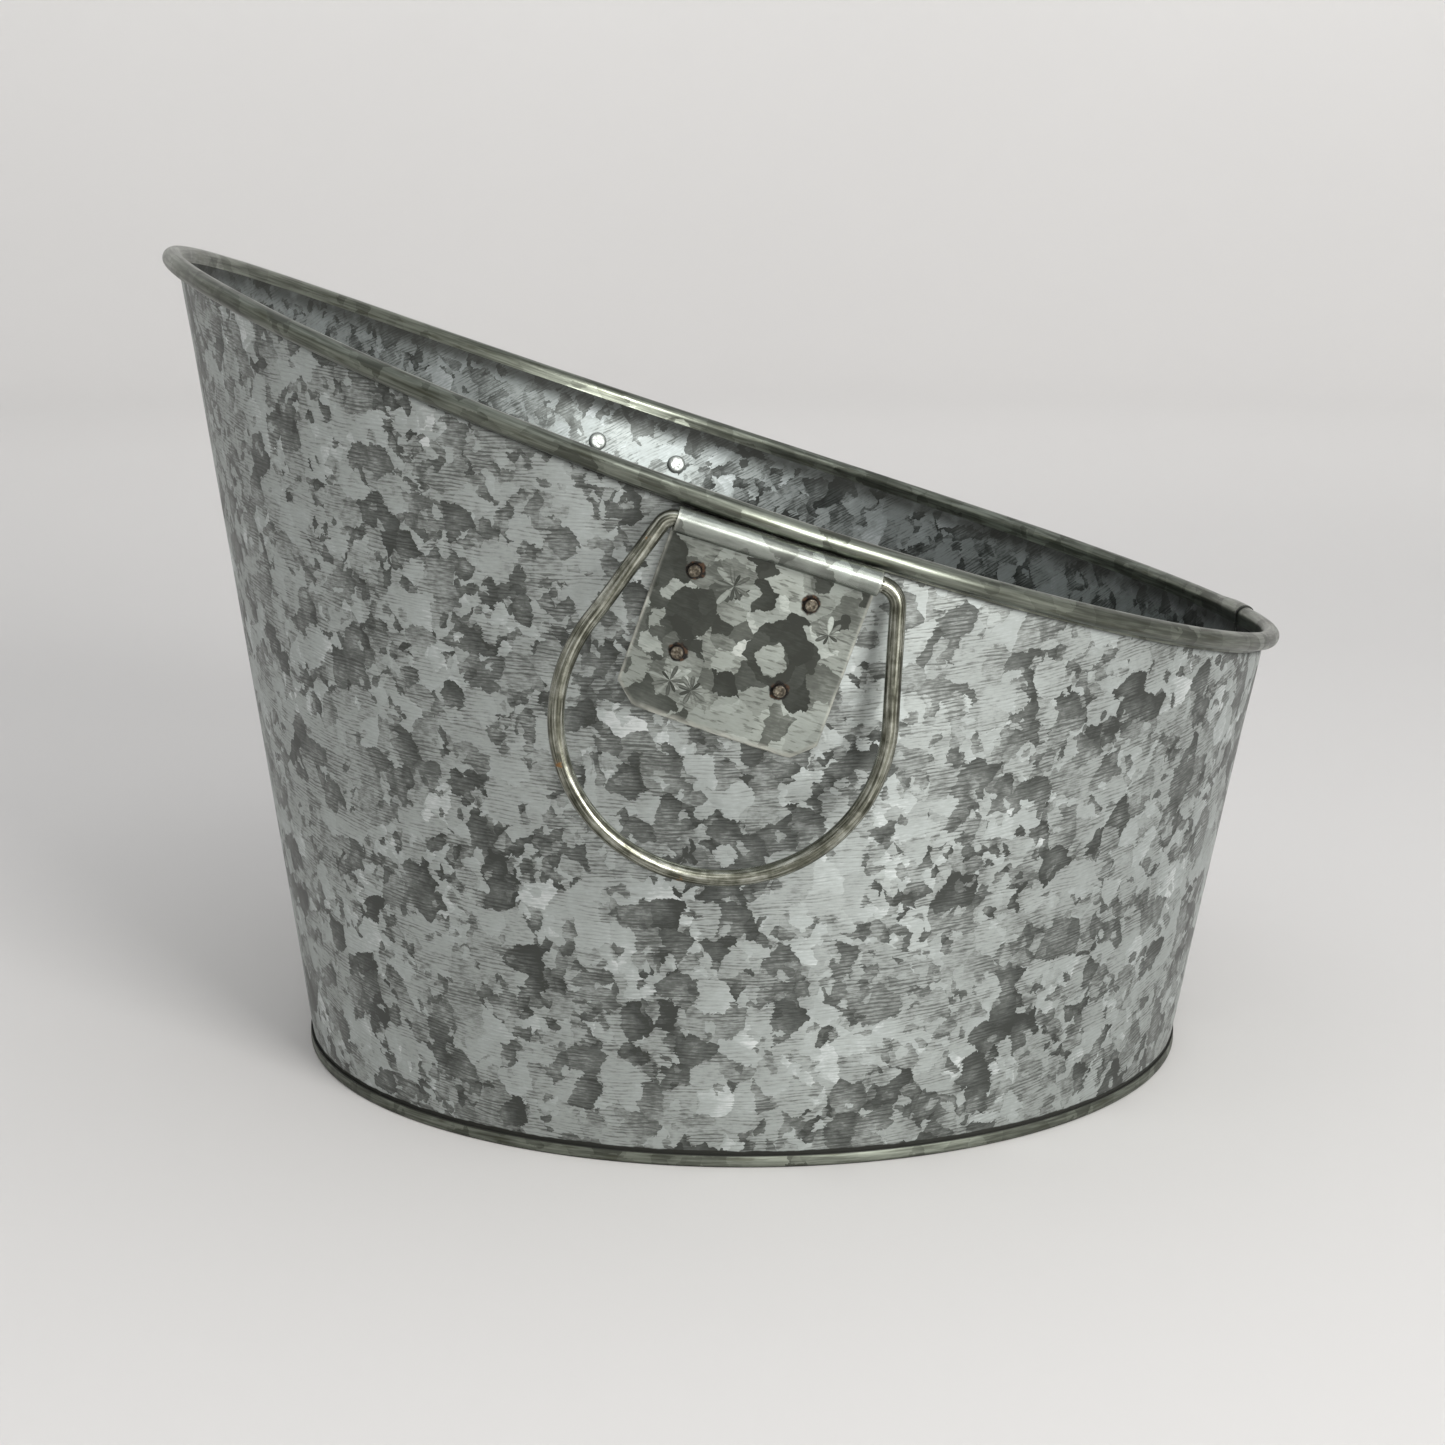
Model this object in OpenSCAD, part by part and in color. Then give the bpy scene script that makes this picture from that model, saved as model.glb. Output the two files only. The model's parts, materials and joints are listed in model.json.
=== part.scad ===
// Round, tapered bucket of galvanised sheet steel with a slanted, wired rim
// and a D-ring handle in a riveted bracket on each long side.
// Millimetres. +Z is up, +X points to the low end of the rim, and the origin
// is the centre of the bounding box on the surface that the bucket stands on.

/* [Bucket] */
// Outer diameter of the wall where it meets the floor
base_d = 280; // [240:5:320]
// Growth of the wall's radius for each millimetre of height
taper = 0.165; // [0.12:0.005:0.2]
// Shift of the wall towards the low end for each millimetre of height
lean = 0.027; // [0:0.001:0.04]
// Height of the rim's centre line above the base, over the base's centre
rim_mid_h = 182.5; // [170:0.5:200]
// Fall of the rim for each millimetre towards the low end
rim_fall = 0.339; // [0.25:0.001:0.36]
// How far the rim's two ends rise above its straight slope
rim_dish = 6; // [0:0.5:8]
// How much more of that rise the high end has than the low end
rim_skew = 1.1; // [0:0.1:2]
// Thickness of the wall sheet
sheet_t = 0.6; // [0.5:0.05:0.8]

/* [Rim bead] */
// Radius of the middle of the curled sheet
curl_r = 2.5; // [2.4:0.1:3]
// Distance of the bead's centre outside the wall's outer face
bead_out = 1.6; // [1.4:0.1:2.2]
// Diameter of the wire inside the curl
rim_wire_d = 4.1; // [3.6:0.1:4.1]

/* [Floor pan] */
// Height of the recessed floor
floor_h = 7; // [5:0.5:12]
// Height of the band that hooks round the foot of the wall
hem_h = 3.7; // [3:0.1:5]
// How far the band's outer face stands outside the base radius
hem_out = 1.35; // [1.3:0.05:2]
// Radius of the pressed panel in the floor
panel_r = 104; // [60:2:110]
// Rise of the pressed panel
panel_rise = 1.2; // [0.4:0.1:2]

/* [Handle bracket] */
// Direction of the near bracket from the base's centre, in degrees
bracket_angle = -95.9; // [-100:0.1:-80]
// Height of the handle's hinge axis
hinge_h = 180.1; // [178:0.1:181]
// Slope of the bracket, in degrees
bracket_slope = 18.6; // [14:0.1:20]
// Length of the rolled tube
roll_l = 56; // [50:0.5:57]
// Bore radius of the rolled tube
roll_bore_r = 2.6; // [2.5:0.05:2.8]
// Thickness of the bracket sheet
bracket_t = 0.9; // [0.8:0.05:1]
// Distance from the hinge axis to the plate's lower edge
plate_drop = 54; // [50:1:60]
// Size of the plate's cut lower corners
corner_cut = 6; // [3:0.5:8]
// Share of the wall's curve that the plate follows
plate_fit = 0.72; // [0.6:0.02:0.9]

/* [Rivets] */
// Radius of a rivet's shank
shank_r = 1.75; // [1.5:0.05:1.9]
// Radius of the head inside the bucket
head_r = 3.4; // [3:0.1:4]
// How far the peened end stands out of the plate
stub_h = 1.2; // [0.8:0.1:1.5]

/* [Handle] */
// Diameter of the handle's wire
wire_d = 4.5; // [4:0.1:4.6]
// Radius of the handle's round part, at the middle of the wire
ring_r = 43.8; // [43.6:0.1:46]
// Depth of the round part's centre below the hinge axis
ring_drop = 45.5; // [43:0.1:45.6]
// How far the round part's centre stands towards the low end
ring_side = 0.4; // [0:0.1:0.5]
// Angle of the low side's straight leg from square to the hinge, in degrees
low_leg_angle = 15.5; // [13:0.1:16]
// Radius of the low side's bend beside the tube, at the middle of the wire
low_bend_r = 6; // [5:0.5:6.5]
// Angle of the high side's straight leg, in degrees
high_leg_angle = 19; // [16:0.1:19]
// Radius of the high side's bend
high_bend_r = 3.6; // [3.2:0.1:4]

/* [Hidden] */
$fn = 64;

// One step of the wall's facets, in degrees, and the width of the wall's lap
step = 4;
lap = step;
// Clearance between sheets that lie on each other, and round the wall's facets
gap = 0.02;
facet_gap = 0.2;
// Height of the stretch where the wall draws in under the bead
neck_h = 6;
// Radius at which the rim's rise is measured
rim_ref = 160;

base_r = base_d / 2;
// Slope of the wall behind the brackets, out of the upright
wall_tilt = atan(taper + lean * cos(bracket_angle));
roll_r = roll_bore_r + bracket_t;
// The tube's back stands a little off the wall
hinge_out = roll_r + 0.1;
// Turn that takes the handle from along the wall to hanging straight down
hang = atan(tan(wall_tilt) / cos(bracket_slope));
plate_half = roll_l / 2;
hole_r = shank_r + 0.05;

// Rivet centres on the near bracket: along the tube, and below the hinge axis.
// They were set by hand, so they aren't quite square.
rivets = [[-18.3, 12.6], [13.2, 11.8], [-15.4, 35.6], [13.2, 37]];

galvanised = [0.62, 0.65, 0.63];
dull_steel = [0.5, 0.51, 0.46];
rivet_brown = [0.36, 0.25, 0.2];

// Outer radius of the wall at height z
function wall_r(z) = base_r + taper * z;

// Height of the rim's centre line at distance x from the base's centre
function rim_line(x) =
    let (u = x / rim_ref)
    rim_mid_h - rim_fall * x + rim_dish * pow(u, 2) - rim_skew * pow(u, 3);

// Slope of that line
function rim_slope(x) =
    let (u = x / rim_ref)
    -rim_fall + (2 * rim_dish * u - 3 * rim_skew * pow(u, 2)) / rim_ref;

// Height of the rim in direction phi, found by repeating
function rim_z(phi, z = rim_mid_h, turns = 9) =
    turns == 0 ? z : rim_z(phi, rim_line(rim_x(phi, z)), turns - 1);
function rim_x(phi, z) = lean * z + wall_r(z) * cos(phi);

// The bead is stretched upright where the rim climbs, so that it stays round
function bead_stretch(phi) =
    norm([1, rim_slope(rim_x(phi, rim_z(phi))) * sin(phi)]);

// The base's centre, placed so that the bounding box is centred on the origin
curl_reach = bead_out + curl_r + sheet_t / 2 / cos(15);
low_reach = rim_x(0, rim_z(0)) + curl_reach + sheet_t + gap;
high_reach = -rim_x(180, rim_z(180)) + curl_reach;
base_x = (high_reach - low_reach) / 2;

// A point of the wall: radius rho in direction phi at height z
function on_wall(rho, phi, z) =
    [base_x + lean * z + rho * cos(phi), rho * sin(phi), z];

// Middle of the wall sheet, from its foot up and round the curl, at s degrees
// past the lap's edge. The sheet's last stretch lies outside its first one on
// the wall, and inside it in the curl.
function ramp(s, a, b) = min(max((s - a) / (b - a), 0), 1);
function wall_path(s) =
    let (
        over = ramp(s, 360 - step, 360) * (sheet_t + gap),
        under = 1 - ramp(s, lap, lap + step),
        foot = 0.8 + ramp(s, 360 - 2 * step, 360 - step) * (hem_h - 0.4),
        z = rim_z(s),
        tall = bead_stretch(s),
        r = curl_r + under * (sheet_t + gap),
        shift = over - sheet_t / 2,
        angles = [for (a = [180 : -30 : -90]) a, -120 + 20 * under]
    )
    concat(
        [[wall_r(foot) + shift, foot]],
        [[wall_r(z - neck_h) + shift, z - neck_h]],
        [for (a = angles) [wall_r(z) + bead_out + r * cos(a), z + tall * r * sin(a)]]
    );

// Unit vector square to the line from a to b, on its left
function left_of(a, b) = [a[1] - b[1], b[0] - a[0]] / norm(b - a);
function corner(path, i) =
    let (
        last = len(path) - 1,
        n1 = i > 0 ? left_of(path[i - 1], path[i]) : left_of(path[0], path[1]),
        n2 = i < last ? left_of(path[i], path[i + 1]) : n1
    )
    (n1 + n2) / (1 + n1 * n2);

// Outline of a sheet of thickness t along a path
function sheet(path, t) = concat(
    [for (i = [0 : len(path) - 1]) path[i] + corner(path, i) * t / 2],
    [for (i = [len(path) - 1 : -1 : 0]) path[i] - corner(path, i) * t / 2]
);

// Side faces between rings of k points each
function sides(n, k, closed) = [
    for (i = [0 : n - (closed ? 1 : 2)], j = [0 : k - 1])
        let (
            a = i * k,
            b = ((i + 1) % n) * k,
            m = (j + 1) % k
        )
        each [[a + j, a + m, b + m], [a + j, b + m, b + j]]
];
// Faces that close the end ring of a sheet whose points start at index a
function sheet_end(a, k, flip) = [
    for (j = [0 : k / 2 - 2])
        let (f = [a + j, a + k - 1 - j, a + k - 2 - j, a + j + 1])
        flip ? [f[3], f[2], f[1], f[0]] : f
];

module wall() {
    rings = [
        for (s = [0 : step : 360 + lap])
            [for (p = sheet(wall_path(s), sheet_t)) on_wall(p[0], s, p[1])]
    ];
    k = len(rings[0]);
    n = len(rings);
    color(galvanised)
        difference() {
            polyhedron(
                [for (r = rings, p = r) p],
                concat(
                    sides(n, k, false),
                    sheet_end(0, k, true),
                    sheet_end((n - 1) * k, k, false)
                )
            );
            for (i = [0 : 3]) {
                near_rivet(i) rivet_hole();
                mirror([0, 1, 0]) near_rivet(i) rivet_hole();
            }
        }
}

module rim_wire() {
    k = 8;
    stations = [0 : step : 360 - step];
    rings = [
        for (s = stations)
            let (z = rim_z(s), tall = bead_stretch(s))
            [for (a = [0 : 360 / k : 359])
                on_wall(
                    wall_r(z) + bead_out + rim_wire_d / 2 * cos(a),
                    s,
                    z + tall * rim_wire_d / 2 * sin(a)
                )]
    ];
    color(dull_steel)
        polyhedron([for (r = rings, p = r) p], sides(len(rings), k, true));
}

module floor_pan() {
    t = sheet_t;
    inset = sheet_t + facet_gap + t / 2;
    path = [
        [0, floor_h + panel_rise],
        [panel_r, floor_h + panel_rise],
        [panel_r + 3, floor_h],
        [wall_r(floor_h) - inset, floor_h],
        [wall_r(t / 2) - inset, t / 2],
        [base_r + hem_out - t / 2, t / 2],
        [base_r + hem_out - t / 2, hem_h]
    ];
    color(galvanised)
        translate([base_x, 0, 0])
            rotate_extrude($fn = 180)
                polygon(sheet(path, t));
}

// Frame of the near bracket: x runs along the hinge towards the low end, y
// points into the bucket and z climbs the wall, with the hinge axis as x
module near_frame() {
    z = hinge_h;
    reach = wall_r(z) + hinge_out / cos(wall_tilt);
    translate(on_wall(reach, bracket_angle, z))
        rotate([0, 0, bracket_angle + 90])
            rotate([wall_tilt, 0, 0])
                rotate([0, bracket_slope, 0])
                    children();
}

// Distance round the wall from the bracket's middle, and how far the wall has
// fallen away from its tangent plane there
function across(x, z) = x * cos(bracket_slope) + z * sin(bracket_slope);
function fall_away(x, z) =
    pow(across(x, z), 2) / (2 * wall_r(hinge_h + z)) * cos(wall_tilt);

// Depth of the plate's back below the hinge axis: straight along the tube,
// then bent part of the way to the wall's curve
function plate_back(x, z) =
    roll_r + plate_fit * ramp(-z, roll_r, 4 * roll_r) * fall_away(x, z);
function plate_foot(x) =
    -plate_drop + max(abs(x) - (plate_half - corner_cut), 0) * 0.9;

module plate() {
    half = plate_half;
    mid = half - corner_cut;
    xs = [
        -half, -half + corner_cut / 2, -mid, -mid * 2 / 3, -mid / 3, 0,
        mid / 3, mid * 2 / 3, mid, half - corner_cut / 2, half
    ];
    rows = [-1, -roll_r, -2.2 * roll_r, -4 * roll_r, -20, -27, -34, -41];
    rings = [
        for (x = xs)
            let (
                zs = concat(rows, [plate_foot(x)]),
                path = [for (z = zs) [x, plate_back(x, z), z]]
            )
            concat(
                [for (p = path) p],
                [for (i = [len(path) - 1 : -1 : 0]) path[i] - [0, bracket_t, 0]]
            )
    ];
    k = len(rings[0]);
    n = len(rings);
    polyhedron(
        [for (r = rings, p = r) p],
        concat(
            sides(n, k, false),
            sheet_end(0, k, true),
            sheet_end((n - 1) * k, k, false)
        )
    );
}

// A cylinder of radius r and length l centred on the x axis
module rod(r, l) {
    rotate([0, 90, 0])
        cylinder(r = r, h = l, center = true);
}

module near_bracket() {
    slot_w = 0.3;
    color(galvanised)
        difference() {
            near_frame()
                difference() {
                    union() {
                        rod(roll_r, roll_l);
                        plate();
                    }
                    rod(roll_bore_r, roll_l + 2);
                    // The sheet's rolled edge stops just short of the plate
                    translate([0, roll_bore_r - slot_w, -roll_r / 2])
                        cube([roll_l + 2, slot_w, roll_r], center = true);
                }
            for (i = [0 : 3])
                near_rivet(i) rivet_hole();
        }
}

// Puts children on the wall at rivet i, with z pointing out of the bucket and
// z = 0 on the wall's outer face
module near_rivet(i) {
    x = rivets[i][0];
    z = -rivets[i][1];
    turn = atan(across(x, z) / wall_r(hinge_h + z));
    near_frame()
        translate([x, hinge_out + fall_away(x, z), z])
            rotate([0, 0, turn * cos(bracket_slope)])
                rotate([90 - turn * sin(bracket_slope), 0, 0])
                    children();
}

module rivet_hole() {
    cylinder(r = hole_r, h = 12, center = true);
}

module near_rivet_body(i) {
    x = rivets[i][0];
    z = -rivets[i][1];
    head_h = 1.3;
    under_head = -sheet_t - facet_gap - 0.05;
    // Height of the plate's outer face above the wall, and room for its slope
    out = hinge_out + fall_away(x, z) - plate_back(x, z) + bracket_t;
    slope_gap = 0.12;
    color(rivet_brown)
        near_rivet(i) {
            // Low round head inside the bucket
            translate([0, 0, under_head])
                rotate([180, 0, 0])
                    rotate_extrude()
                        polygon([
                            [0, 0], [head_r, 0],
                            for (a = [0 : 15 : 90])
                                [head_r - head_h + head_h * cos(a), head_h * sin(a)],
                            [0, head_h]
                        ]);
            translate([0, 0, under_head - 0.1])
                cylinder(r = shank_r, h = out + stub_h / 2 - under_head + 0.1);
            // Peened end, a little wider than the shank
            translate([0, 0, out + slope_gap])
                rotate_extrude()
                    polygon([
                        [0, 0], [shank_r + 0.2, 0], [shank_r + 0.3, 0.4],
                        [shank_r + 0.1, stub_h - 0.3], [shank_r - 0.4, stub_h],
                        [0, stub_h]
                    ]);
        }
}

// Middle of the handle's wire in its own plane, clockwise from the bar's end at
// the low side: each station is [x, z, angle of the outward direction]
function turn_about(c, r, a0, a1, n) = [
    for (i = [0 : n])
        let (a = a0 + (a1 - a0) * i / n)
        [c[0] + r * cos(a), c[1] + r * sin(a), a]
];
// Distance along the hinge from the round part's centre to the centre of a
// bend, where the leg between them touches both circles
function bar_reach(angle, bend) =
    (ring_r - bend - (ring_drop - bend) * sin(angle)) / cos(angle);

module near_handle() {
    r = wire_d / 2;
    low_end = ring_side + bar_reach(low_leg_angle, low_bend_r);
    high_end = ring_side - bar_reach(high_leg_angle, high_bend_r);
    stations = concat(
        turn_about([low_end, -low_bend_r], low_bend_r, 90, low_leg_angle, 5),
        turn_about([ring_side, -ring_drop], ring_r, low_leg_angle, -180 - high_leg_angle, 24),
        turn_about([high_end, -high_bend_r], high_bend_r, -180 - high_leg_angle, -270, 5)
    );
    k = 12;
    // The bent wire is a hair thinner than the bar that turns in the tube
    bent_r = r - 0.02;
    points = [
        for (s = stations, j = [0 : k - 1])
            let (
                b = 360 * j / k,
                out = bent_r * cos(b)
            )
            [s[0] + out * cos(s[2]), bent_r * sin(b), s[1] + out * sin(s[2])]
    ];
    color(dull_steel)
        near_frame()
            rotate([-hang, 0, 0]) {
                translate([(low_end + high_end) / 2, 0, 0])
                    rod(r, low_end - high_end - 0.5);
                polyhedron(points, sides(len(stations), k, true));
            }
}

module far_side() {
    mirror([0, 1, 0]) children();
}

wall();
rim_wire();
floor_pan();
near_bracket();  // bracket_near
far_side() near_bracket();  // bracket_far
near_handle();  // handle_near
far_side() near_handle();  // handle_far
near_rivet_body(0);  // rivet_near_1
near_rivet_body(1);  // rivet_near_2
near_rivet_body(2);  // rivet_near_3
near_rivet_body(3);  // rivet_near_4
far_side() near_rivet_body(0);  // rivet_far_1
far_side() near_rivet_body(1);  // rivet_far_2
far_side() near_rivet_body(2);  // rivet_far_3
far_side() near_rivet_body(3);  // rivet_far_4
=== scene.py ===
"""Looks of the galvanised florist bucket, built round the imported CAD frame. Lengths are in metres."""
import json
import math

import bmesh
import bpy
import numpy as np
from mathutils import Matrix, Vector


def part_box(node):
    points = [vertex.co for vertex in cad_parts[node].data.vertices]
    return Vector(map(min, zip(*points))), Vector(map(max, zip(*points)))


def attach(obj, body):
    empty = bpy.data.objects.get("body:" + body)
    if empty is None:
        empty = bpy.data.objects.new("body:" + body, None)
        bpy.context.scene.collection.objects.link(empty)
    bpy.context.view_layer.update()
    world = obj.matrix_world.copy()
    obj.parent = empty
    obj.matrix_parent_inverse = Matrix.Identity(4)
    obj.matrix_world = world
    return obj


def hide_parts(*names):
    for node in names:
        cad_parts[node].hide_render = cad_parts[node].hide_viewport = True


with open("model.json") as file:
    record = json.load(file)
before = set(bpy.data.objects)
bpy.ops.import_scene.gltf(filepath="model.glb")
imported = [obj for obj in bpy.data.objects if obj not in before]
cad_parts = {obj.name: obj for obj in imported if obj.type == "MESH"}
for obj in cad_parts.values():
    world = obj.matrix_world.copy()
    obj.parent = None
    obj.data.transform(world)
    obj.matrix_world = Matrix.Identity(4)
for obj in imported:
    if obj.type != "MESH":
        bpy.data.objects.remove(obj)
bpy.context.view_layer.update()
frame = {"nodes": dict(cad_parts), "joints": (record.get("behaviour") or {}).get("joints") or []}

# ---------------------------------------------------------------- the bucket's shape, as in the CAD part

BASE_R = 0.140            # outer radius of the wall at its foot
TAPER = 0.165             # growth of that radius for each metre of height
LEAN = 0.027              # shift of the wall towards +X for each metre of height
RIM_MID = 0.1825          # the rim's centre line: height over the base's centre, fall, dish and skew
RIM_FALL = 0.339
RIM_DISH = 0.006
RIM_SKEW = 0.0011
RIM_REF = 0.160
SHEET = 0.0006            # thickness of the wall and the floor
GAP = 0.00002             # clearance between sheets that lie on each other
FOOT = 0.0011             # height of the wall's lower edge inside the floor pan's hem
NECK = 0.006              # height of the stretch where the wall draws in under the bead
CURL_R = 0.0025           # middle of the curled sheet
BEAD_OUT = 0.0016         # distance of the bead's centre outside the wall
LAP = 4                   # width of the wall's lap, in degrees

FLOOR_H = 0.007
HEM_H = 0.0037
HEM_OUT = 0.00135
PANEL_R = 0.104
PANEL_RISE = 0.0012
FACET_GAP = 0.0002

BRACKET_ANGLE = -95.9     # direction of the near bracket, in degrees
BRACKET_SLOPE = 18.6      # slope of its tube, in degrees
TUBE_BORE = 0.0026        # radius of the rolled tube's bore
BRACKET_T = 0.0009
TUBE_R = TUBE_BORE + BRACKET_T
PLATE_HALF = 0.028
PLATE_DROP = 0.054
PLATE_FIT = 0.72
CORNER_CUT = 0.006
CUT_SLOPE = 0.9
HINGE_OUT = TUBE_R + 0.0001
PLATE_ORIGIN = 8.0        # where a bracket's own sheet coordinates start
BLOTCHES = [(-0.0155, -0.0205, 0.0068), (0.0105, -0.0235, 0.0092)]    # its dark patches: middle and radius
BLOTCH_CORE = (0.0080, -0.0262, 0.0036)
STARS = [                 # its star-shaped crystals: middle, reach and number of leaves
    (-0.0150, -0.0405, 0.0062, 11), (-0.0088, -0.0412, 0.0055, 9),
    (-0.0075, -0.0100, 0.0066, 11), (0.0205, -0.0150, 0.0050, 9),
]

WIRE_R = 0.00225          # the handle's wire
RING_R = 0.0438           # its round part: radius, depth below the hinge, and shift to the low end
RING_DROP = 0.0455
RING_SIDE = 0.0004
LOW_LEG, LOW_BEND = 15.5, 0.006      # its two legs' angles in degrees, and the radii of their bends
HIGH_LEG, HIGH_BEND = 19, 0.0036

SHANK_R = 0.00175         # the rivets
HEAD_R = 0.0034
HEAD_H = 0.0013
STUB_H = 0.0012
RIVETS = [(-0.0183, 0.0126), (0.0132, 0.0118), (-0.0154, 0.0356), (0.0132, 0.0370)]

floor_low, floor_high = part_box("floor_pan")
BASE_X = (floor_low.x + floor_high.x) / 2
HINGE = {j["child"]: Vector(j["pos_m"]) for j in frame["joints"]}
WALL_TILT = math.atan(TAPER + LEAN * math.cos(math.radians(BRACKET_ANGLE)))
HANG = math.atan(math.tan(WALL_TILT) / math.cos(math.radians(BRACKET_SLOPE)))


def cos(degrees):
    return np.cos(np.radians(degrees))


def sin(degrees):
    return np.sin(np.radians(degrees))


def ramp(value, low, high):
    """0 below low, 1 above high, and straight in between."""
    return np.clip((value - low) / (high - low), 0, 1)


def ease(value, low, high):
    """The same, with soft ends."""
    t = ramp(value, low, high)
    return t * t * (3 - 2 * t)


def wall_r(z):
    return BASE_R + TAPER * z


def rim_z(phi):
    """Height of the bead's centre in direction phi, found by repeating."""
    z = np.full_like(phi, RIM_MID, dtype=float)
    for _ in range(12):
        u = (LEAN * z + wall_r(z) * cos(phi)) / RIM_REF
        z = RIM_MID - RIM_FALL * RIM_REF * u + RIM_DISH * u**2 - RIM_SKEW * u**3
    return z


def bead_stretch(phi):
    """How much the bead is stretched upright so that it stays round where the rim climbs."""
    z = rim_z(phi)
    u = (LEAN * z + wall_r(z) * cos(phi)) / RIM_REF
    slope = -RIM_FALL + (2 * RIM_DISH * u - 3 * RIM_SKEW * u**2) / RIM_REF
    return np.hypot(1, slope * sin(phi))


def on_wall(radius, phi, z):
    """Points at a radius in direction phi and at height z, with the wall's lean."""
    return np.stack([BASE_X + LEAN * z + radius * cos(phi), radius * sin(phi), z], axis=-1)


# ---------------------------------------------------------------- mesh tools

ROUND_END = 3             # points in the round end of a sheet's outline
SHARP = 38                # edges that turn by more degrees than this stay sharp


class Waves:
    """A smooth, repeatable unevenness: a sum of waves with whole turns round the bucket."""

    def __init__(self, seed, count, turns, per_metre):
        draw = np.random.default_rng(seed)
        self.turns = draw.integers(turns[0], turns[1] + 1, count)
        self.pitch = draw.uniform(-per_metre, per_metre, count)
        self.phase = draw.uniform(0, 2 * np.pi, count)
        self.size = draw.uniform(0.5, 1, count)

    def __call__(self, degrees, distance):
        total = 0
        for turns, pitch, phase, size in zip(self.turns, self.pitch, self.phase, self.size):
            total = total + size * np.cos(np.radians(turns * degrees) + 2 * np.pi * pitch * distance + phase)
        return total / self.size.sum()


def outline(path, thickness):
    """Closed outlines of sheets along paths of shape (n, k, 2), with round ends.
    Each goes up the sheet's left side and back down its right side."""
    ahead = np.diff(path, axis=1)
    ahead /= np.linalg.norm(ahead, axis=2, keepdims=True)
    left = np.stack([-ahead[..., 1], ahead[..., 0]], axis=-1)
    before = np.concatenate([left[:, :1], left], axis=1)
    after = np.concatenate([left, left[:, -1:]], axis=1)
    corner = (before + after) / (1 + (before * after).sum(axis=2, keepdims=True))
    half = np.broadcast_to(np.asarray(thickness, float) / 2, path.shape[:1])[:, None, None]

    def round_end(middle, side, forward):
        angles = np.linspace(0, 180, ROUND_END + 2)[1:-1]
        arc = [middle + half[:, 0] * (side * cos(a) + forward * sin(a)) for a in angles]
        return np.stack(arc, axis=1)

    top = round_end(path[:, -1], left[:, -1], ahead[:, -1])
    foot = round_end(path[:, 0], -left[:, 0], -ahead[:, 0])
    sides = path + corner * half, (path - corner * half)[:, ::-1]
    return np.concatenate([sides[0], top, sides[1], foot], axis=1)


def path_length(path):
    steps = np.linalg.norm(np.diff(path, axis=1), axis=2)
    return np.concatenate([np.zeros((len(path), 1)), np.cumsum(steps, axis=1)], axis=1)


def round_trip(length):
    """The same distances for every point of an outline: up one side of the sheet, and back down the other."""
    top = length[:, -1:].repeat(ROUND_END, 1)
    foot = length[:, :1].repeat(ROUND_END, 1)
    return np.concatenate([length, top, length[:, ::-1], foot], axis=1)


def grid_faces(rows, columns, wrap_rows, wrap_columns):
    """Corners of each quad of a grid, as (row, column) index arrays of shape (quads, 4)."""
    i, j = np.meshgrid(
        np.arange(rows if wrap_rows else rows - 1),
        np.arange(columns if wrap_columns else columns - 1),
        indexing="ij",
    )
    i, j = i.ravel(), j.ravel()
    return np.stack([i, i, i + 1, i + 1], 1), np.stack([j, j + 1, j + 1, j], 1)


def grid_piece(
    name, points, flat, wrap_rows=False, wrap_columns=False, slots=None, close_ends=False, stored=None
):
    """A mesh over a grid of points (rows, columns, 3). flat is the sheet coordinates of its corners, with
    one more row or column where the grid wraps, or a function of the quads' corner indices. close_ends
    closes the first and last row of a sheet's outlines, and needs flat to be a function."""
    rows, columns = points.shape[:2]
    i, j = grid_faces(rows, columns, wrap_rows, wrap_columns)
    faces = ((i % rows) * columns + j % columns).tolist()
    uv = flat(i, j) if callable(flat) else flat[i, j]
    uv = uv.reshape(-1, 2).tolist()
    kinds = [0] * len(faces) if slots is None else slots(i, j).tolist()
    if close_ends:
        corner_uv = flat(*np.indices((rows, columns)).reshape(2, -1))
        side = (columns - 2 * ROUND_END) // 2
        back = 2 * side + ROUND_END - 1
        for first in (0, (rows - 1) * columns):
            strip = [
                [first + a, first + a + 1, first + back - a - 1, first + back - a]
                for a in range(side - 1)
            ]
            strip.append([first + a for a in range(side - 1, side + ROUND_END + 1)])
            strip.append([first + a for a in range(back, columns)] + [first])
            faces += strip
            kinds += [0] * len(strip)
            for face in strip:
                uv += corner_uv[face].tolist()
    mesh = bpy.data.meshes.new(name)
    mesh.from_pydata(points.reshape(-1, 3).tolist(), [], faces)
    layer = mesh.uv_layers.new(name="sheet")
    layer.data.foreach_set("uv", np.asarray(uv, np.float32).ravel())
    mesh.polygons.foreach_set("material_index", kinds)
    for key, values in (stored or {}).items():
        attribute = mesh.attributes.new(key, "FLOAT", "POINT")
        attribute.data.foreach_set("value", values.ravel().astype(np.float32))
    return finished(name, mesh)


def finished(name, mesh):
    """Puts the mesh in the scene with its normals outward and its sharp edges kept."""
    work = bmesh.new()
    work.from_mesh(mesh)
    bmesh.ops.remove_doubles(work, verts=work.verts, dist=1e-7)
    bmesh.ops.recalc_face_normals(work, faces=work.faces)
    work.to_mesh(mesh)
    work.free()
    mesh.polygons.foreach_set("use_smooth", [True] * len(mesh.polygons))
    mesh.set_sharp_from_angle(angle=math.radians(SHARP))
    piece = bpy.data.objects.new(name, mesh)
    bpy.context.scene.collection.objects.link(piece)
    return piece


def placed(points, matrix, mirrored):
    """Points moved by a matrix, and to the far side of the bucket if mirrored."""
    turn = np.array(matrix)
    moved = points @ turn[:3, :3].T + turn[:3, 3]
    return moved * [1, -1, 1] if mirrored else moved


# ---------------------------------------------------------------- wall and floor

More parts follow.
